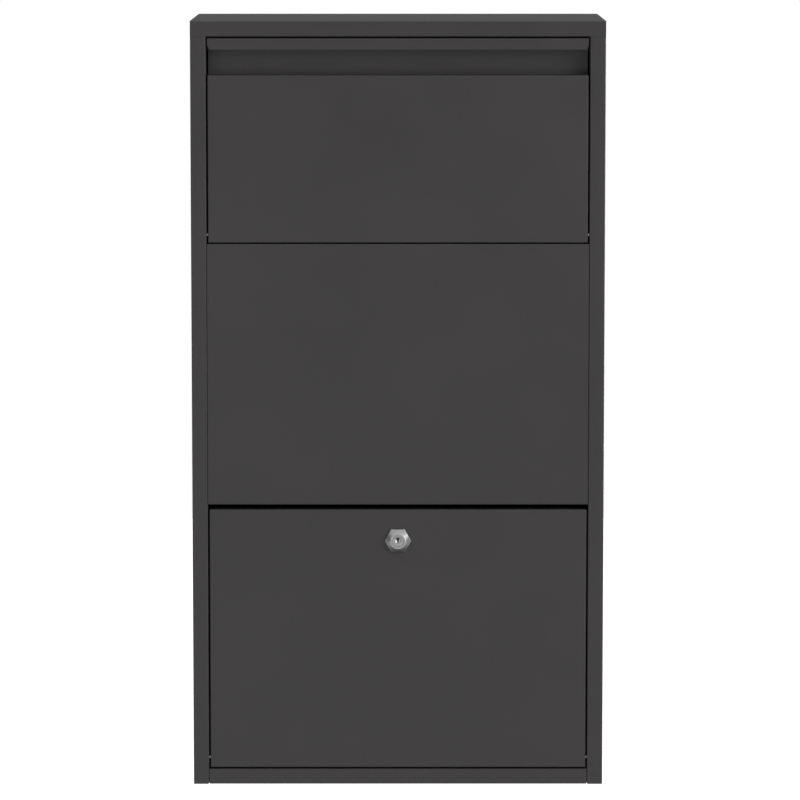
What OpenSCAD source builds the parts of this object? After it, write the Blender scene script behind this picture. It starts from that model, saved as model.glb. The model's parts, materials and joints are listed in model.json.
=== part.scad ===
// Wall-mounted parcel mailbox in folded sheet steel: a pull-down drop flap with
// an anti-theft tray above, a fixed middle panel, and a lockable door below.
// Frame: +Z up, the front faces -Y, the back panel lies on the wall plane y = 0.
// Origin: the centre of the four wall-screw holes, on the back face.

/* [Cabinet] */
// Overall width across the side panels
body_w = 410; // [380:1:440]
// Overall height from floor to roof
body_h = 764; // [750:1:800]
// Depth from the wall plane to the front faces
body_d = 210; // [205:1:240]
// Thickness of the sheet steel
sheet = 1; // [0.8:0.1:1.2]
// Inside radius of every fold
fold_r = 0.3; // [0.2:0.1:0.6]
// Width of the front frame seen beside the flap and door
frame_w = 15.5; // [14:0.5:20]
// Depth of the folded return behind the front frame
return_d = 16; // [15:0.5:18]

/* [Wall holes] */
// Distance between wall holes across the back
hole_dx = 310; // [240:5:340]
// Distance between wall holes up the back
hole_dz = 640; // [560:5:660]
// Diameter of each wall hole
hole_d = 8; // [6:0.5:10]

/* [Drop flap] */
// Height of the flap's lower edge above the floor
flap_z0 = 545; // [540:0.5:550]
// Height of the flap's top above the floor
flap_z1 = 747.1; // [740:0.1:747.2]
// Height of the turned-down lip over the grip channel
lip_h = 11.2; // [8:0.1:14]
// Height of the grip channel's open mouth
grip_h = 25.2; // [22:0.1:30]
// Depth of the grip channel
grip_d = 16; // [14:0.5:17]
// Height of the flap's pivot above its lower edge
flap_pin_up = 7.7; // [7:0.1:8]
// Length of the sloping part of the tray
tray_len = 184; // [150:1:188]
// Slope of the tray below horizontal when the flap is shut
tray_slope = 66.5; // [60:0.5:72]
// Radius of the flap's side cheeks
cheek_r = 178; // [150:1:179]
// How far the flap opens
flap_open = 50; // [40:1:50]

/* [Door] */
// Height of the door's lower edge above the floor
door_z0 = 16.9; // [16.8:0.1:18]
// Height of the door's top edge above the floor
door_z1 = 278.3; // [270:0.1:279]
// Height of the door's pivot above its lower edge
door_pin_up = 9.9; // [9:0.1:10]
// Depth of the door pan
door_deep = 14; // [13:0.5:14]
// Width of the inward lip round the back of the door pan
door_lip = 10; // [8:0.5:14]
// Gap between the frame and the flap or door at each side
side_gap = 1.5; // [1.4:0.05:2.5]
// Distance of both pivots behind the front faces
pivot_in = 4.5; // [4:0.1:5]
// Diameter of the hinge pins
pin_d = 3; // [2.5:0.1:3.5]

/* [Middle panel] */
// Height of the middle panel's lower edge above the floor
mid_z0 = 283.1; // [283:0.1:286]
// Height of the middle panel's top edge above the floor
mid_z1 = 543.9; // [540:0.1:543.9]

/* [Lock] */
// Height of the lock's axis above the floor
lock_z = 247; // [240:0.5:250]
// Distance across the flats of the lock's hexagonal head
lock_af = 23; // [21:0.5:26]
// Diameter of the round face on the head
lock_face_d = 16; // [14:0.5:17]
// How far the head stands proud of the door
lock_proud = 6.5; // [6:0.1:8]
// Diameter of the threaded barrel
barrel_d = 18; // [16:0.5:19]
// Diameter of the turning plug
plug_d = 9.6; // [9.6:0.1:11]
// Length of the cam from the axis to its tip
cam_len = 47; // [44:1:50]

/* [Hidden] */
$fn = 48;

t = sheet;
h = t / 2;
rm = fold_r + h;          // radius of a fold at mid thickness
ro = fold_r + t;          // outside radius of a fold
front = -body_d;          // y of the front faces
half = body_w / 2;
open_x = half - frame_w;  // inner edge of the frame
leaf_x = open_x - side_gap; // outer edge of flap and door
rail_z1 = body_h - frame_w; // underside of the top rail
axis_y = front + pivot_in;
flap_axis = flap_z0 + flap_pin_up;
door_axis = door_z0 + door_pin_up;
face_top = flap_z1 - lip_h - grip_h; // top edge of the flap's main face
stop_y = front + 20;      // front of the roof's stop lip
cheek_x = leaf_x - t;     // outer face of each cheek
pin_run = 0.05;           // radial running clearance of the pins
stop_r = 150;             // radius of the stop studs about the flap's pivot
sleeve_r = 5;             // outer radius of their rubber sleeves
stop_a = acos((return_d - pivot_in + sleeve_r + 0.3) / stop_r) - flap_open;
steel_dark = [0.26, 0.26, 0.265];
zinc = [0.62, 0.62, 0.63];
rubber = [0.08, 0.08, 0.08];

// ---- helpers -------------------------------------------------------------

function unit(v) = v / norm(v);
function left_of(v) = [-v[1], v[0]];
function turned(v, a) = [v[0] * cos(a) - v[1] * sin(a), v[0] * sin(a) + v[1] * cos(a)];
function flip(p) = [for (i = [len(p) - 1:-1:0]) p[i]];

// Points round one fold, on side s of a strip that runs a, b, c
function fold_pts(a, b, c, tt, r, s, n) =
    let (d0 = unit(b - a), d1 = unit(c - b),
         way = sign(d0[0] * d1[1] - d0[1] * d1[0]),
         phi = acos(d0 * d1),
         st = b - d0 * r * tan(phi / 2),
         ctr = st + way * left_of(d0) * r)
    [for (k = [0:n]) ctr + (r - way * s * tt / 2) * turned(-way * left_of(d0), way * phi * k / n)];

function edge_pts(p, tt, r, s, n) = [for (i = [0:len(p) - 1]) each
    i == 0 ? [p[0] + s * left_of(unit(p[1] - p[0])) * tt / 2] :
    i == len(p) - 1 ? [p[i] + s * left_of(unit(p[i] - p[i - 1])) * tt / 2] :
    fold_pts(p[i - 1], p[i], p[i + 1], tt, r, s, n)];

// Outline of folded sheet of thickness tt whose middle line runs through p
function sheet_outline(p, tt = t, r = rm, n = 6) =
    concat(edge_pts(p, tt, r, 1, n), flip(edge_pts(p, tt, r, -1, n)));

// Stands a (y, z) outline up and sweeps it across x0..x1
module across(x0, x1) {
    translate([x0, 0, 0]) rotate([90, 0, 90]) linear_extrude(x1 - x0) children();
}

// Sweeps an (x, z) outline from y0 back to y1
module through(y0, y1) {
    translate([0, y1, 0]) rotate([90, 0, 0]) linear_extrude(y1 - y0) children();
}

// Rectangle with the corners of radius ra at low v and rb at high v
module soft_rect(u0, u1, v0, v1, ra, rb, n = 6) {
    function arc(cx, cy, r, a0) = r <= 0 ? [[cx, cy]] :
        [for (k = [0:n]) [cx + r * cos(a0 + 90 * k / n), cy + r * sin(a0 + 90 * k / n)]];
    polygon(concat(arc(u0 + ra, v0 + ra, ra, 180), arc(u1 - ra, v0 + ra, ra, 270),
                   arc(u1 - rb, v1 - rb, rb, 0), arc(u0 + rb, v1 - rb, rb, 90)));
}

// Moves z from floor height to the origin on the wall
module placed() { translate([0, 0, -body_h / 2]) children(); }

module both_sides() { children(); mirror([1, 0, 0]) children(); }

// A cylinder along x
module rod_x(x0, x1, r, y, z, fn = 48) {
    translate([x0, y, z]) rotate([0, 90, 0]) cylinder(h = x1 - x0, r = r, $fn = fn);
}

// A cylinder along y
module rod_y(y0, y1, r, x, z, fn = 48) {
    translate([x, y1, z]) rotate([90, 0, 0]) cylinder(h = y1 - y0, r = r, $fn = fn);
}

// Block from corner a to corner b
module block(a, b) { translate(a) cube(b - a); }

// A closed pan seen from behind, with folds round its front edges
module pan_solid(hw, z0, z1, y1, r, corner) {
    intersection() {
        translate([0, 0, z0]) linear_extrude(z1 - z0)
            soft_rect(-hw, hw, front + ro - r, y1, r, 0);
        across(-hw, hw) polygon(concat(
            [for (k = [0:6]) [front + ro - r * cos(15 * k), z1 - r + r * sin(15 * k)]],
            [[y1, z1], [y1, z0]],
            [for (k = [0:6]) [front + ro - r * sin(15 * k), z0 + r - r * cos(15 * k)]]));
        through(front - 1, y1) soft_rect(-hw, hw, z0, z1, corner, corner);
    }
}

// ---- cabinet ---------------------------------------------------------------

module back_panel() {
    color(steel_dark) placed() difference() {
        block([-half + 0.5, -t, 0.5], [half - 0.5, 0, body_h - 0.5]);
        for (sx = [-1, 1], sz = [-1, 1])
            rod_y(-t - 1, 1, hole_d / 2, sx * hole_dx / 2, body_h / 2 + sz * hole_dz / 2);
    }
}

module side_panel() {
    color(steel_dark) placed() {
        difference() {
            union() {
                // Return, front flange, wall and rear flange, folded from one sheet
                linear_extrude(rail_z1 - 0.1)
                    polygon(sheet_outline([[open_x + h, front + return_d], [open_x + h, front + h],
                        [half - h, front + h], [half - h, -t - h], [half - 14, -t - h]]));
                // Above the frame the wall runs on behind the top rail
                translate([0, 0, rail_z1 - 1]) linear_extrude(body_h - t - rail_z1 + 1)
                    polygon(sheet_outline([[half - h, front + t + 0.1], [half - h, -t - h], [half - 14, -t - h]]));
                // Flange under the roof
                block([half - 13, front + 24, body_h - 2 * t], [half - h, -2 * t - 0.2, body_h - t]);
            }
            rod_x(open_x - 1, open_x + t + 1, pin_d / 2 + pin_run, axis_y, flap_axis);
            rod_x(open_x - 1, open_x + t + 1, pin_d / 2 + pin_run, axis_y, door_axis);
            // Rounded foot of the frame beside the bottom rail
            through(front - 1, front + return_d + 1)
                polygon([[open_x - 1, -1], [open_x + 1.6, -1], [open_x + 0.6, 0.3], [open_x + 0.15, 0.9], [open_x - 1, 0.9]]);
        }
    }
}

module roof_panel() {
    color(steel_dark) placed() {
        difference() {
            union() {
                // Roof sheet and front rail, folded under between the side frames
                across(-open_x, open_x) polygon(sheet_outline([[front + 10, rail_z1 + h], [front + h, rail_z1 + h],
                    [front + h, body_h - h], [-t - 0.1, body_h - h]]));
                // Over the side frames the rail ends in a plain cut edge
                both_sides() across(open_x - 0.01, half) polygon(sheet_outline([[front + h, rail_z1 + 0.05],
                    [front + h, body_h - h], [-t - 0.1, body_h - h]]));
                // Rail return and stop lip between the side walls
                across(-half + 2 * t, half - 2 * t) polygon(sheet_outline([[front + 8, rail_z1 + h],
                    [stop_y + h, rail_z1 + h], [stop_y + h, rail_z1 - 14.5]]));
                across(-half + 15, half - 15) polygon(sheet_outline([[-20, body_h - h],
                    [-t - h, body_h - h], [-t - h, body_h - 13]]));
            }
            // The rail's return stops short of the side walls
            both_sides() block([half - 2 * t, front + t + 0.1, rail_z1 - 1], [half + 1, front + 12, body_h - t]);
            both_sides() rod_y(stop_y - 1, stop_y + 2, 2, 150, rail_z1 - 8.5);
        }
    }
}

module floor_panel() {
    rx = open_x - 0.25;
    color(steel_dark) placed() {
        difference() {
            union() {
                // Rail with its return, folded up from the floor
                across(-rx, rx) polygon(sheet_outline([[-60, h], [front + h, h], [front + h, frame_w - h],
                    [front + 18 - h, frame_w - h], [front + 18 - h, frame_w - 8]]));
                // Floor sheet
                block([-half + t, front + return_d + 1.5, 0], [half - t, -2 * t - 0.5, t]);
                block([-half + 20, -20, 0], [half - 20, -t, t]);
                // Tabs that close the feet of the side frames
                both_sides() block([open_x + t + 0.2, front + t + 0.3, 0], [half - t, front + return_d + 3, t]);
                // Flanges up the side walls and the back
                both_sides() across(half - 2 * t, half - t)
                    polygon([[front + return_d + 8, 0], [-16, 0], [-16, 12], [front + return_d + 8, 12]]);
                block([-half + 20, -2 * t, 0], [half - 20, -t, 13]);
            }
            // Small corner cuts at the foot of the rail
            both_sides() through(front - 1, front + 2)
                polygon([[rx + 1, -1], [rx - 1.2, -1], [rx - 0.4, 0.3], [rx, 0.9], [rx + 1, 0.9]]);
        }
    }
}

module middle_front_panel() {
    mx = open_x - 0.25;
    color(steel_dark) placed() {
        intersection() {
            across(-mx, mx) polygon(sheet_outline([[front + 14 - h, mid_z1 - 9], [front + 14 - h, mid_z1 - h],
                [front + h, mid_z1 - h], [front + h, mid_z0 + h],
                [front + 15 - h, mid_z0 + h], [front + 15 - h, mid_z0 + 14]]));
            // Slightly rounded corners seen from the front
            through(front - 1, front + 30) soft_rect(-mx, mx, mid_z0, mid_z1, 1.2, 1.2);
        }
        // Tabs welded to the frame's returns
        both_sides() {
            block([open_x - t, front + 2, mid_z0 + 0.4], [open_x, front + 12.5, mid_z0 + 17]);
            block([open_x - t, front + 2, mid_z1 - 17], [open_x, front + 12.5, mid_z1 - 0.4]);
        }
    }
}

module door_stop_brackets() {
    color(steel_dark) placed() both_sides() difference() {
        translate([0, 0, 254]) linear_extrude(20)
            polygon(sheet_outline([[open_x + t + h, front + 5], [open_x + t + h, front + return_d + 1.5], [open_x - 14, front + return_d + 1.5]]));
        rod_y(front + return_d, front + return_d + 3, 2, leaf_x - 5.5, 264);
    }
}

// Push-in rubber buffer: round pad in front of a sheet, stem and barb behind
module buffer(x, z, sheet_y, pad, r) {
    translate([x, sheet_y, z]) rotate([90, 0, 0]) rotate_extrude($fn = 40)
        polygon([[0, -3.2], [1.4, -3.2], [3, -1.6], [3, -t], [2, -t], [2, 0], [r, 0],
                 [r, pad - 1], [r - 0.35, pad - 0.3], [r - 1, pad], [0, pad]]);
}

module door_bumpers() {
    color(rubber) placed() both_sides() buffer(leaf_x - 5.5, 264, front + return_d + 1, 2.7, 4);
}

module flap_bumpers() {
    color(rubber) placed() both_sides() buffer(150, rail_z1 - 8.5, stop_y, 2.7, 5);
}

// ---- drop flap -------------------------------------------------------------

// Lip, top, back and floor of the grip channel, as a (y, z) middle line
grip_line = [[front + 8, face_top - h], [front + grip_d + h, face_top - h],
             [front + grip_d + h, flap_z1 - h], [front + h, flap_z1 - h], [front + h, flap_z1 - lip_h]];

module flap_panel() {
    color(steel_dark) placed() difference() {
        union() {
            difference() {
                pan_solid(leaf_x, flap_z0, face_top, front + 14, ro, 1.2);
                pan_solid(leaf_x - t, flap_z0 + t, face_top - t, front + 15, fold_r, 0);
                // The folds leave small reliefs at the two lower corners
                both_sides() block([leaf_x - 1.6, front + 2.4, flap_z0 - 1], [leaf_x - 1, front + 20, flap_z0 + 1.6]);
            }
            across(-leaf_x, leaf_x) polygon(sheet_outline(grip_line));
        }
        // Tapered ends of the lip
        both_sides() through(front - 1, front + 3)
            polygon([[leaf_x + 1, flap_z1 - lip_h - 1], [leaf_x - 1.9, flap_z1 - lip_h - 1], [leaf_x - 1.9, flap_z1 - lip_h],
                     [leaf_x - 1.5, flap_z1 - lip_h + 1.4], [leaf_x - 0.4, flap_z1 - lip_h + 3.6],
                     [leaf_x, flap_z1 - lip_h + 5.4], [leaf_x + 1, flap_z1 - lip_h + 5.4]]);
        // The channel behind the lip is a little narrower than the faces
        both_sides() block([leaf_x - 0.3, front + 3, face_top], [leaf_x + 1, front + 20, flap_z1 + 1]);
        both_sides() rod_x(leaf_x - 3, leaf_x + 1, pin_d / 2, axis_y, flap_axis);
    }
}

// Start and direction of the tray's slope, as (y, z)
tray_a = [front + 19.5, flap_z0 + t + h];
tray_dir = [cos(tray_slope), -sin(tray_slope)];
tray_up = [sin(tray_slope), cos(tray_slope)];
tray_b = tray_a + tray_dir * tray_len;

module flap_tray() {
    tx = cheek_x - t;
    color(steel_dark) placed() difference() {
        union() {
            across(-tx, tx) polygon(sheet_outline([[front + 3, tray_a[1]], tray_a, tray_b, tray_b - tray_up * 10], t, 2));
            // Side flanges along the slope
            both_sides() across(tx - t, tx)
                polygon([tray_a + tray_dir * 5, tray_b - tray_dir * 3, tray_b - tray_dir * 6 + tray_up * 12,
                         tray_a + tray_dir * 12 + tray_up * 12]);
        }
        both_sides() for (s = [34, 94, 154]) {
            p = tray_a + tray_dir * s + tray_up * 6.5;
            rod_x(tx - 3, tx + 1, 1.6, p[0], p[1], 24);
        }
        // Room for the heads of the hinge pins
        both_sides() block([tx - 2, front + 1, flap_z0], [tx + 1, front + 9.5, flap_z0 + 8]);
    }
}

module cheek() {
    r = cheek_r;
    y0 = grip_d - pivot_in + t + 0.7; // passes behind the grip channel
    zt = face_top - flap_axis - t - 1.2;
    a0 = acos(y0 / r);
    a1 = atan2(tray_b[1] - flap_axis, tray_b[0] - axis_y);
    tail = [tray_b[0] - axis_y, tray_b[1] - flap_axis];
    start = [tray_a[0] - axis_y, tray_a[1] - flap_axis];
    color(steel_dark) placed() difference() {
        across(cheek_x - t, cheek_x) translate([axis_y, flap_axis]) polygon(concat(
            [[-pivot_in + t + 0.5, -flap_pin_up + t + 0.8], [-pivot_in + t + 0.5, zt], [y0, zt]],
            [for (k = [0:36]) let (a = a0 + (a1 + 3 - a0) * k / 36) [r * cos(a), r * sin(a)]],
            [tail - tray_dir * 12, start + tray_dir * 2 + [0, -1], start + [0, -flap_pin_up + t + 0.8 - start[1]]]));
        rod_x(cheek_x - 2, cheek_x + 1, pin_d / 2, axis_y, flap_axis);
        rod_x(cheek_x - 2, cheek_x + 1, 2.5, axis_y + stop_r * cos(stop_a), flap_axis + stop_r * sin(stop_a));
        for (s = [34, 94, 154]) {
            p = tray_a + tray_dir * s + tray_up * 6.5;
            rod_x(cheek_x - 3, cheek_x + 1, 1.6, p[0], p[1], 24);
        }
    }
}

module tray_rivets() {
    tx = cheek_x - t;
    color(zinc) placed() both_sides() for (s = [34, 94, 154]) {
        p = tray_a + tray_dir * s + tray_up * 6.5;
        translate([cheek_x, p[0], p[1]]) rotate([0, 90, 0]) rotate_extrude($fn = 32)
            polygon([[0, -2 * t - 0.9], [2.1, -2 * t - 0.9], [2.7, -2 * t - 0.5], [2.8, -2 * t], [1.6, -2 * t],
                     [1.6, 0], [3, 0], [2.8, 0.45], [2.2, 0.8], [1.2, 1], [0, 1.05]]);
    }
}

module stop_point() {
    translate([0, axis_y + stop_r * cos(stop_a), flap_axis + stop_r * sin(stop_a)]) rotate([0, 90, 0]) children();
}

module flap_stop_studs() {
    color(zinc) placed() both_sides() stop_point() rotate_extrude($fn = 40)
        polygon([[0, cheek_x - t - 1.5], [3.6, cheek_x - t - 1.5], [4, cheek_x - t - 1.1], [4, cheek_x - t], [2.5, cheek_x - t],
                 [2.5, cheek_x + 10], [4.2, cheek_x + 10], [4.2, cheek_x + 11], [3.8, cheek_x + 11.4], [0, cheek_x + 11.4]]);
}

module flap_stop_sleeves() {
    color(rubber) placed() both_sides() stop_point() rotate_extrude($fn = 40)
        polygon([[2.5, cheek_x + 0.4], [sleeve_r - 0.5, cheek_x + 0.4], [sleeve_r, cheek_x + 0.9],
                 [sleeve_r, cheek_x + 9.5], [sleeve_r - 0.5, cheek_x + 10], [2.5, cheek_x + 10]]);
}

// Headed hinge pin whose head bears on a plate at x = plate_x
module hinge_pin(plate_x, z) {
    translate([0, axis_y, z]) rotate([0, 90, 0]) rotate_extrude($fn = 40)
        polygon([[0, plate_x - 1.2], [2.4, plate_x - 1.2], [2.8, plate_x - 0.8], [2.8, plate_x], [pin_d / 2, plate_x],
                 [pin_d / 2, open_x + t + 2.2], [pin_d / 2 - 0.4, open_x + t + 2.6], [0, open_x + t + 2.6]]);
}

// Push-on retaining ring outside the frame's return
module pin_clip(z) {
    difference() {
        rod_x(open_x + t + 0.3, open_x + t + 0.9, 3.2, axis_y, z, 40);
        rod_x(open_x + t, open_x + t + 1.2, pin_d / 2, axis_y, z, 40);
        for (a = [30, 150, 270]) translate([open_x + t + 0.6, axis_y, z]) rotate([a, 0, 0])
            block([-1, pin_d / 2 - 0.4, -0.3], [1, pin_d / 2 + 0.8, 0.3]);
    }
}

module flap_hinge_pins() { color(zinc) placed() both_sides() hinge_pin(cheek_x - t, flap_axis); }
module flap_pin_clips() { color(zinc) placed() both_sides() pin_clip(flap_axis); }

// ---- door --------------------------------------------------------------------

module door_panel() {
    y1 = front + door_deep;
    color(steel_dark) placed() difference() {
        pan_solid(leaf_x, door_z0, door_z1, y1, ro, 1.2);
        pan_solid(leaf_x - t, door_z0 + t, door_z1 - t, y1 - t, fold_r, 0);
        // Window inside the rear lip
        through(y1 - t - 1, y1 + 1)
            soft_rect(-leaf_x + door_lip, leaf_x - door_lip, door_z0 + door_lip, door_z1 - door_lip, 0, 0);
        // Open mitres where the lips meet
        for (sx = [-1, 1], c = [[door_z0, 1], [door_z1, -1]])
            translate([sx * leaf_x, 0, c[0]]) rotate([0, -sx * c[1] * 45, 0])
                block([-20, y1 - t - 0.6, -0.3], [20, y1 + 1, 0.3]);
        both_sides() rod_x(leaf_x - 3, leaf_x + 1, pin_d / 2, axis_y, door_axis);
        rod_y(front - 1, front + 3, barrel_d / 2, 0, lock_z);
    }
}

module door_hinge_pins() { color(zinc) placed() both_sides() hinge_pin(leaf_x - t, door_axis); }
module door_pin_clips() { color(zinc) placed() both_sides() pin_clip(door_axis); }

// ---- lock ----------------------------------------------------------------------

cam_y0 = front + 16;              // front face of the cam
cam_t = 2.5;
house_y1 = cam_y0 - 0.2;          // rear end of the housing
plug_face = front - lock_proud + 0.2;

// A lock part turned about its own axis, drawn as (radius, y)
module lathe() {
    placed() translate([0, 0, lock_z]) rotate([-90, 0, 0]) rotate_extrude($fn = 64) children();
}

module hexagon(af) { circle(r = af / 2 / cos(30), $fn = 6); }

module lock_housing() {
    fr = lock_face_d / 2;
    ac = lock_af / 2 / cos(30);
    color(zinc) difference() {
        union() {
            intersection() {
                placed() translate([0, front, lock_z]) rotate([90, 0, 0]) linear_extrude(lock_proud) hexagon(lock_af);
                // Round face with a 45 degree cone down to the hexagon
                lathe() polygon([[0, front - lock_proud], [fr - 0.4, front - lock_proud], [fr, front - lock_proud + 0.25],
                                 [ac + 0.3, front - lock_proud + 0.55 + ac - fr], [ac + 1, front], [0, front]]);
            }
            // Threaded barrel: full at the door and the nut, fine rings behind them
            lathe() polygon(concat([[0, front - 0.5], [barrel_d / 2, front - 0.5], [barrel_d / 2, front + 6.2]],
                [for (k = [0:7]) each [[barrel_d / 2 - 0.5, front + 6.7 + k], [barrel_d / 2, front + 7.2 + k]]],
                [[barrel_d / 2 - 0.6, house_y1], [0, house_y1]]));
        }
        // Bore for the plug, wider at the face for its head
        placed() rod_y(front - 12, house_y1 + 1, plug_d / 2 + 0.05, 0, lock_z);
        placed() rod_y(front - 12, front - lock_proud + 2.2, plug_d / 2 + 1, 0, lock_z);
    }
}

module lock_washer() {
    color(zinc) placed() difference() {
        rod_y(front + t, front + t + 0.8, 12.4, 0, lock_z);
        rod_y(front, front + 4, barrel_d / 2, 0, lock_z);
        for (k = [0:15]) translate([0, front + t + 0.4, lock_z]) rotate([0, k * 22.5, 0])
            block([11.3, -2, -0.6], [14, 2, 0.6]);
    }
}

module lock_nut() {
    color(zinc) intersection() {
        placed() difference() {
            translate([0, front + t + 4.8, lock_z]) rotate([90, 0, 0]) linear_extrude(4) hexagon(24);
            rod_y(front, front + 12, barrel_d / 2, 0, lock_z);
        }
        lathe() polygon([[0, front + 1], [12.4, front + 1], [13.9, front + 2.2], [13.9, front + 5], [12.2, front + 6], [0, front + 6]]);
    }
}

wafer_y = [for (k = [0:4]) front - 0.3 + 2.9 * k];

module lock_plug() {
    color(zinc) {
        difference() {
            lathe() polygon([[0, plug_face], [plug_d / 2 + 0.7, plug_face], [plug_d / 2 + 0.9, plug_face + 0.2],
                             [plug_d / 2 + 0.9, plug_face + 1.9], [plug_d / 2, plug_face + 1.9],
                             [plug_d / 2, house_y1], [0, house_y1]]);
            // Keyway, round above and tapering below, in a dished mouth
            placed() rod_y(plug_face - 1, front + 13.4, 1.25, 0, lock_z + 2.3, 32);
            placed() translate([0, 0, lock_z]) through(plug_face - 1, front + 13.4)
                polygon([[-1.2, 2.3], [-0.4, -1.7], [0.4, -1.7], [1.2, 2.3]]);
            placed() translate([0, plug_face - 2.66, lock_z + 1.1]) sphere(r = 4.16);
            // Slots for the wafers
            for (y = wafer_y) placed() block([-2.55, y - 0.5, lock_z - 6], [2.55, y + 0.5, lock_z + 6]);
            placed() rod_y(front + 14.2, front + 22, 2, 0, lock_z, 32);
        }
        // Square drive for the cam
        placed() difference() {
            block([-3.3, house_y1 - 0.2, lock_z - 3.3], [3.3, cam_y0 + cam_t + 0.1, lock_z + 3.3]);
            rod_y(front + 14.2, front + 22, 2, 0, lock_z, 32);
        }
    }
}

module lock_wafers() {
    color([0.72, 0.58, 0.3]) placed() for (y = wafer_y) difference() {
        block([-2.5, y - 0.4, lock_z - 4.05], [2.5, y + 0.4, lock_z + 4.05]);
        block([-1.4, y - 1, lock_z - 2.2], [1.4, y + 1, lock_z + 3.1]);
    }
}

// At rest the cam hangs down and the door is free; half a turn brings it up behind the middle panel
module lock_cam() {
    color(zinc) placed() difference() {
        union() {
            rod_y(cam_y0, cam_y0 + cam_t, 9.5, 0, lock_z);
            translate([0, 0, lock_z]) through(cam_y0, cam_y0 + cam_t)
                polygon([[-8, 1], [-8, -cam_len + 5], [-3, -cam_len], [3, -cam_len], [8, -cam_len + 5], [8, 1]]);
        }
        block([-3.35, cam_y0 - 1, lock_z - 3.35], [3.35, cam_y0 + 5, lock_z + 3.35]);
        rod_y(cam_y0 - 1, cam_y0 + 5, 1.6, 0, lock_z - 38, 24);
    }
}

module cam_washer() {
    color(zinc) placed() difference() {
        rod_y(cam_y0 + cam_t + 0.1, cam_y0 + cam_t + 0.9, 5.5, 0, lock_z);
        rod_y(cam_y0 + cam_t - 1, cam_y0 + cam_t + 2, 2, 0, lock_z, 32);
    }
}

module cam_screw() {
    y0 = cam_y0 + cam_t + 0.9;
    color(zinc) difference() {
        lathe() polygon([[0, front + 14.6], [1.6, front + 14.6], [2, front + 15], [2, y0], [4, y0], [4, y0 + 1.2], [3.4, y0 + 2.2], [2, y0 + 2.8], [0, y0 + 2.9]]);
        placed() for (a = [0, 90]) translate([0, y0 + 1.4, lock_z]) rotate([0, a, 0]) block([-2.2, 0, -0.45], [2.2, 3, 0.45]);
    }
}

// ---- nodes -----------------------------------------------------------------------

back_panel();
mirror([1, 0, 0]) side_panel();  // left_side_panel
side_panel();  // right_side_panel
roof_panel();
floor_panel();
middle_front_panel();
door_stop_brackets();
door_bumpers();
flap_bumpers();
flap_panel();
flap_tray();
mirror([1, 0, 0]) cheek();  // left_cheek
cheek();  // right_cheek
tray_rivets();
flap_stop_studs();
flap_stop_sleeves();
flap_hinge_pins();
flap_pin_clips();
door_panel();
door_hinge_pins();
door_pin_clips();
lock_housing();
lock_washer();
lock_nut();
lock_plug();
lock_wafers();
lock_cam();
cam_washer();
cam_screw();
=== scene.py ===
"""Looks of the wall mounted mailbox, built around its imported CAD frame. Metres, +Z up, front towards -Y."""
import json
import math

import bpy
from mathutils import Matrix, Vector

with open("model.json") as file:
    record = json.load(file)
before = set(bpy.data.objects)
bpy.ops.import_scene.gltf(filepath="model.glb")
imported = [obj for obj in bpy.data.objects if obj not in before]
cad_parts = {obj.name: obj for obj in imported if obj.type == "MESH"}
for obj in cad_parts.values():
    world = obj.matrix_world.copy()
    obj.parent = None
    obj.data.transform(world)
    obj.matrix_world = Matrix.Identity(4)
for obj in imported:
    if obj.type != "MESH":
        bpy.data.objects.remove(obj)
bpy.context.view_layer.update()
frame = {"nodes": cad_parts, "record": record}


# ---- node helpers ------------------------------------------------------------

def material(name):
    m = bpy.data.materials.new(name)
    m.use_nodes = True
    tree = m.node_tree
    tree.nodes.clear()
    out = tree.nodes.new("ShaderNodeOutputMaterial")
    bsdf = tree.nodes.new("ShaderNodeBsdfPrincipled")
    tree.links.new(bsdf.outputs["BSDF"], out.inputs["Surface"])
    return m, tree, bsdf


def node(tree, kind, **settings):
    n = tree.nodes.new("ShaderNode" + kind)
    for key, value in settings.items():
        if key in n.inputs:
            n.inputs[key].default_value = value
        else:
            setattr(n, key, value)
    return n


def place(tree, centre=(0, 0, 0), stretch=(1, 1, 1)):
    """Object coordinates, which are the row frame in metres, about a centre."""
    coord = node(tree, "TexCoord")
    at = node(tree, "Mapping", vector_type="POINT")
    at.inputs["Scale"].default_value = stretch
    at.inputs["Location"].default_value = [-c * s for c, s in zip(centre, stretch)]
    tree.links.new(coord.outputs["Object"], at.inputs["Vector"])
    return at.outputs["Vector"]


def noise(tree, where, scale, detail=2.0, rough=0.5, distortion=0.0):
    n = node(tree, "TexNoise", Scale=scale, Detail=detail, Roughness=rough, Distortion=distortion)
    tree.links.new(where, n.inputs["Vector"])
    return n.outputs["Fac"]


def spread(tree, value, low, high, start=0.3, end=0.7):
    """Maps a 0..1 pattern to low..high."""
    n = node(tree, "MapRange")
    n.inputs["From Min"].default_value = start
    n.inputs["From Max"].default_value = end
    n.inputs["To Min"].default_value = low
    n.inputs["To Max"].default_value = high
    tree.links.new(value, n.inputs["Value"])
    return n.outputs["Result"]


def mixed(tree, factor, a, b):
    n = node(tree, "Mix", data_type="RGBA")
    tree.links.new(factor, n.inputs[0])
    for socket, c in ((n.inputs[6], a), (n.inputs[7], b)):
        if hasattr(c, "is_output"):
            tree.links.new(c, socket)
        else:
            socket.default_value = (*c, 1)
    return n.outputs[2]


def bumped(tree, bsdf, height, strength, distance, before=None):
    n = node(tree, "Bump")
    n.inputs["Strength"].default_value = strength
    n.inputs["Distance"].default_value = distance
    tree.links.new(height, n.inputs["Height"])
    if before is not None:
        tree.links.new(before, n.inputs["Normal"])
    tree.links.new(n.outputs["Normal"], bsdf.inputs["Normal"])
    return n.outputs["Normal"]


# ---- materials -----------------------------------------------------------------

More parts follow.
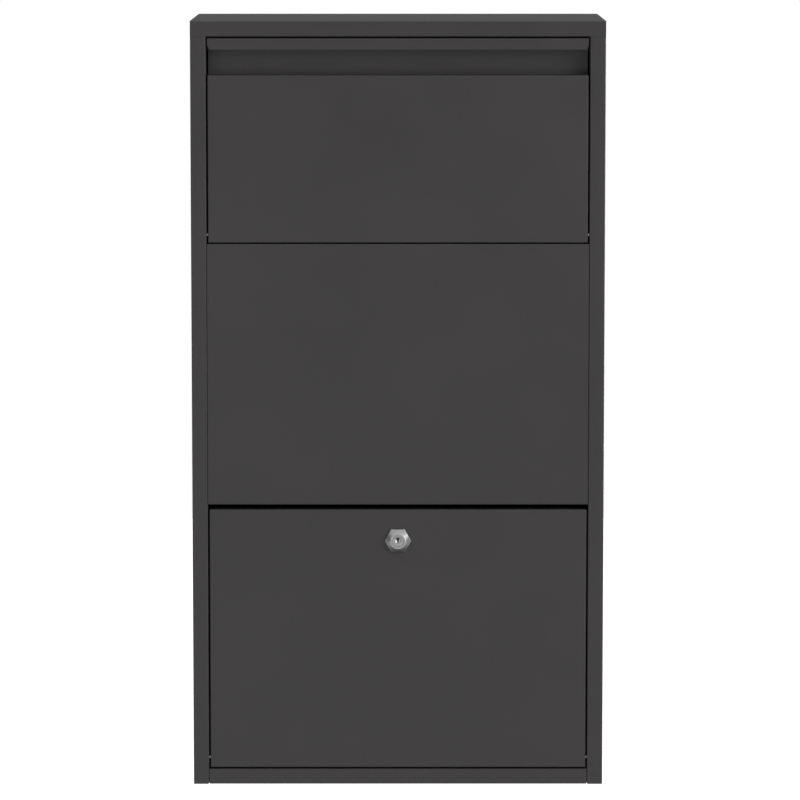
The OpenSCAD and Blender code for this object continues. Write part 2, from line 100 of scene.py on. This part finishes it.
def powder_coat(name, dark, light, shift=0.0):
    """Anthracite polyester powder on sheet steel: satin, with a fine orange peel and a soft cloudiness."""
    m, tree, bsdf = material(name)
    where = place(tree, (shift, shift * 0.7, -shift))
    cloud = noise(tree, where, 9, 3, 0.55)
    peel = noise(tree, where, 1300, 2, 0.5)
    grain = noise(tree, where, 4200, 1, 0.5)
    tone = mixed(tree, spread(tree, cloud, 0, 1, 0.35, 0.65), dark, light)
    fleck = spread(tree, grain, 0, 1, 0.6, 0.8)
    lifted = mixed(tree, fleck, tone, [c * 1.35 for c in light])
    tree.links.new(lifted, bsdf.inputs["Base Color"])
    tree.links.new(spread(tree, cloud, 0.49, 0.55), bsdf.inputs["Roughness"])
    first = bumped(tree, bsdf, peel, 0.35, 0.00004)
    bumped(tree, bsdf, grain, 0.25, 0.00001, first)
    bsdf.inputs["Specular IOR Level"].default_value = 0.5
    return m


def plated(name, dark, light, rough, shift=0.0, streak=(1, 1, 1), scale=700):
    """Zinc-plated steel: patchy crystal tone, slightly blue-grey."""
    m, tree, bsdf = material(name)
    where = place(tree, (shift, shift, shift), streak)
    patch = noise(tree, where, scale, 4, 0.6, 0.4)
    fine = noise(tree, where, scale * 6, 2, 0.6)
    tree.links.new(mixed(tree, spread(tree, patch, 0, 1), dark, light), bsdf.inputs["Base Color"])
    bsdf.inputs["Metallic"].default_value = 1.0
    tree.links.new(spread(tree, patch, rough - 0.06, rough + 0.08), bsdf.inputs["Roughness"])
    bumped(tree, bsdf, fine, 0.3, 0.00001)
    return m


def turned(name, centre, dark, light, rough, pitch=0.00035):
    """Satin nickel over a turned casting: fine rings about the lock's axis and small cast blemishes."""
    m, tree, bsdf = material(name)
    where = place(tree, centre)
    rings = node(tree, "TexWave", wave_type="RINGS", rings_direction="Y", wave_profile="SIN")
    rings.inputs["Scale"].default_value = 0.31 / pitch
    rings.inputs["Distortion"].default_value = 0.6
    rings.inputs["Detail Scale"].default_value = 2.0
    tree.links.new(where, rings.inputs["Vector"])
    cast = noise(tree, where, 500, 4, 0.6)
    tree.links.new(mixed(tree, spread(tree, cast, 0, 1), dark, light), bsdf.inputs["Base Color"])
    bsdf.inputs["Metallic"].default_value = 1.0
    tree.links.new(spread(tree, cast, rough - 0.05, rough + 0.07), bsdf.inputs["Roughness"])
    first = bumped(tree, bsdf, rings.outputs["Fac"], 0.12, 0.00002)
    bumped(tree, bsdf, cast, 0.15, 0.00003, first)
    return m


def rubber(name):
    m, tree, bsdf = material(name)
    where = place(tree)
    bloom = noise(tree, where, 260, 3, 0.6)
    pits = noise(tree, where, 3000, 2, 0.5)
    tree.links.new(mixed(tree, spread(tree, bloom, 0, 1), (0.012, 0.012, 0.012), (0.026, 0.025, 0.024)), bsdf.inputs["Base Color"])
    tree.links.new(spread(tree, bloom, 0.6, 0.75), bsdf.inputs["Roughness"])
    bumped(tree, bsdf, pits, 0.4, 0.00002)
    return m


def brass(name):
    m, tree, bsdf = material(name)
    where = place(tree, (0, 0, 0), (1, 4, 1))
    stamp = noise(tree, where, 900, 3, 0.6)
    tree.links.new(mixed(tree, spread(tree, stamp, 0, 1), (0.5, 0.37, 0.15), (0.66, 0.5, 0.22)), bsdf.inputs["Base Color"])
    bsdf.inputs["Metallic"].default_value = 1.0
    tree.links.new(spread(tree, stamp, 0.3, 0.42), bsdf.inputs["Roughness"])
    return m


lock_centre = (0.0, -0.21, -0.135)
coat_dark, coat_light = (0.0350, 0.0322, 0.0335), (0.0392, 0.0360, 0.0374)
looks = {
    "coat": powder_coat("coat_anthracite", coat_dark, coat_light),
    "zinc": plated("zinc_plating", (0.42, 0.43, 0.45), (0.6, 0.6, 0.6), 0.36),
    "lock_metal": turned("satin_nickel", lock_centre, (0.43, 0.43, 0.435), (0.51, 0.51, 0.51), 0.34),
    "brass": brass("stamped_brass"),
    "rubber": rubber("moulded_rubber"),
}

slots = {s["node"]: s["material_slot"] for s in frame["record"]["subparts"]}


def smoother():
    """A modifier that shades faces smooth across folds and keeps real corners crisp."""
    group = bpy.data.node_groups.new("smooth_folds", "GeometryNodeTree")
    group.interface.new_socket("Geometry", in_out="INPUT", socket_type="NodeSocketGeometry")
    group.interface.new_socket("Geometry", in_out="OUTPUT", socket_type="NodeSocketGeometry")
    add = group.nodes.new
    start, end = add("NodeGroupInput"), add("NodeGroupOutput")
    faces, edges = add("GeometryNodeSetShadeSmooth"), add("GeometryNodeSetShadeSmooth")
    edges.domain = "EDGE"
    angle = add("GeometryNodeInputMeshEdgeAngle")
    small = add("FunctionNodeCompare")
    small.operation = "LESS_THAN"
    small.inputs[1].default_value = math.radians(28)
    link = group.links.new
    link(start.outputs[0], faces.inputs["Geometry"])
    link(faces.outputs["Geometry"], edges.inputs["Geometry"])
    link(angle.outputs["Unsigned Angle"], small.inputs[0])
    link(small.outputs["Result"], edges.inputs["Shade Smooth"])
    link(edges.outputs["Geometry"], end.inputs[0])
    return group


folds = smoother()
for name, obj in frame["nodes"].items():
    obj.data.materials.clear()
    obj.data.materials.append(looks[slots[name]])
    weld = obj.modifiers.new("weld", "WELD")
    weld.merge_threshold = 0.000001
    shade = obj.modifiers.new("smooth_folds", "NODES")
    shade.node_group = folds


# ---- studio ----------------------------------------------------------------------

scene = bpy.context.scene
scene.view_settings.view_transform = "Standard"
scene.view_settings.look = "None"
scene.view_settings.exposure = 0.0
scene.view_settings.gamma = 1.0

world = bpy.data.worlds.new("studio")
scene.world = world
world.use_nodes = True
wt = world.node_tree
wt.nodes.clear()
w_out = wt.nodes.new("ShaderNodeOutputWorld")
w_seen = wt.nodes.new("ShaderNodeBackground")
w_seen.inputs["Color"].default_value = (1, 1, 1, 1)
w_seen.inputs["Strength"].default_value = 1.0
w_light = wt.nodes.new("ShaderNodeBackground")
w_light.inputs["Strength"].default_value = 1.4
# Bright overhead, dim at the horizon, with the bounce of a pale floor below
w_dir = wt.nodes.new("ShaderNodeTexCoord")
w_split = wt.nodes.new("ShaderNodeSeparateXYZ")
w_ramp = wt.nodes.new("ShaderNodeValToRGB")
w_up = wt.nodes.new("ShaderNodeMath")
w_up.operation = "MULTIPLY_ADD"
w_up.inputs[1].default_value = 0.5
w_up.inputs[2].default_value = 0.5
wt.links.new(w_dir.outputs["Generated"], w_split.inputs["Vector"])
wt.links.new(w_split.outputs["Z"], w_up.inputs[0])
wt.links.new(w_up.outputs["Value"], w_ramp.inputs["Fac"])
wt.links.new(w_ramp.outputs["Color"], w_light.inputs["Color"])
stops = w_ramp.color_ramp.elements
stops[0].position, stops[0].color = 0.0, (0.089, 0.089, 0.089, 1)
stops[1].position, stops[1].color = 1.0, (0.61, 0.61, 0.61, 1)
for at, level in ((0.3, 0.55), (0.5, 0.177), (0.7, 0.11), (0.8, 0.59)):
    stop = stops.new(at)
    stop.color = (level, level, level, 1)
w_path = wt.nodes.new("ShaderNodeLightPath")
w_mix = wt.nodes.new("ShaderNodeMixShader")
wt.links.new(w_path.outputs["Is Camera Ray"], w_mix.inputs["Fac"])
wt.links.new(w_light.outputs["Background"], w_mix.inputs[1])
wt.links.new(w_seen.outputs["Background"], w_mix.inputs[2])
wt.links.new(w_mix.outputs["Shader"], w_out.inputs["Surface"])

floor_mesh = bpy.data.meshes.new("floor")
s, fz = 40.0, -6.0
floor_mesh.from_pydata([(-s, -s, fz), (s, -s, fz), (s, s, fz), (-s, s, fz)], [], [(0, 1, 2, 3)])
floor = bpy.data.objects.new("floor", floor_mesh)
scene.collection.objects.link(floor)
fm, ft, fb = material("pale_floor")
fb.inputs["Base Color"].default_value = (0.85, 0.85, 0.85, 1)
fb.inputs["Roughness"].default_value = 0.9
fb.inputs["Specular IOR Level"].default_value = 0.1
fb.inputs["Emission Color"].default_value = (1, 1, 1, 1)
fb.inputs["Emission Strength"].default_value = 0.7
floor_mesh.materials.append(fm)
floor.visible_diffuse = False
floor.visible_glossy = False


def softbox(name, at, aim, size, watts, tone=(1, 1, 1)):
    data = bpy.data.lights.new(name, "AREA")
    data.shape = "RECTANGLE"
    data.size, data.size_y = size
    data.energy = watts
    data.color = tone
    lamp = bpy.data.objects.new(name, data)
    lamp.location = at
    lamp.rotation_euler = (Vector(aim) - Vector(at)).to_track_quat("-Z", "Y").to_euler()
    scene.collection.objects.link(lamp)


aim = (0, -0.2, 0)
softbox("key_right", (4.6, -3.0, 0.9), aim, (2.2, 3.2), 84)
softbox("key_high", (3.2, -4.0, 3.0), aim, (2.6, 2.6), 44)
softbox("key_front", (3.7, -4.1, 1.5), aim, (1.5, 1.5), 12)
softbox("fill_low", (-2.6, -4.6, -1.1), (0, -0.2, -0.1), (3.0, 2.6), 23)
softbox("fill_under", (0.0, -5.2, -1.8), (0, -0.2, -0.1), (3.0, 2.0), 7.5)
softbox("fill_left", (-3.6, -3.6, 0.8), (0, -0.2, -0.1), (2.4, 2.4), 13)
softbox("side", (3.4, -0.7, 1.5), (0, -0.1, 0), (1.0, 1.4), 9)
softbox("back", (1.6, 4.2, -0.1), (0, 0, 0), (2.6, 1.2), 80)

cam_data = bpy.data.cameras.new("camera")
cam = bpy.data.objects.new("camera", cam_data)
scene.collection.objects.link(cam)
scene.camera = cam
distance = 4.5
pitch = math.radians(6.83)
target = Vector((0.0020, -0.21, 0.0063))
cam.location = target + distance * Vector((0, -math.cos(pitch), math.sin(pitch)))
cam.rotation_euler = (math.radians(90) - pitch, 0, 0)
cam_data.sensor_width = 36
cam_data.lens = distance * 1000 * 1.006 * 36 / 800
cam_data.clip_end = 200
cam_data.dof.use_dof = False
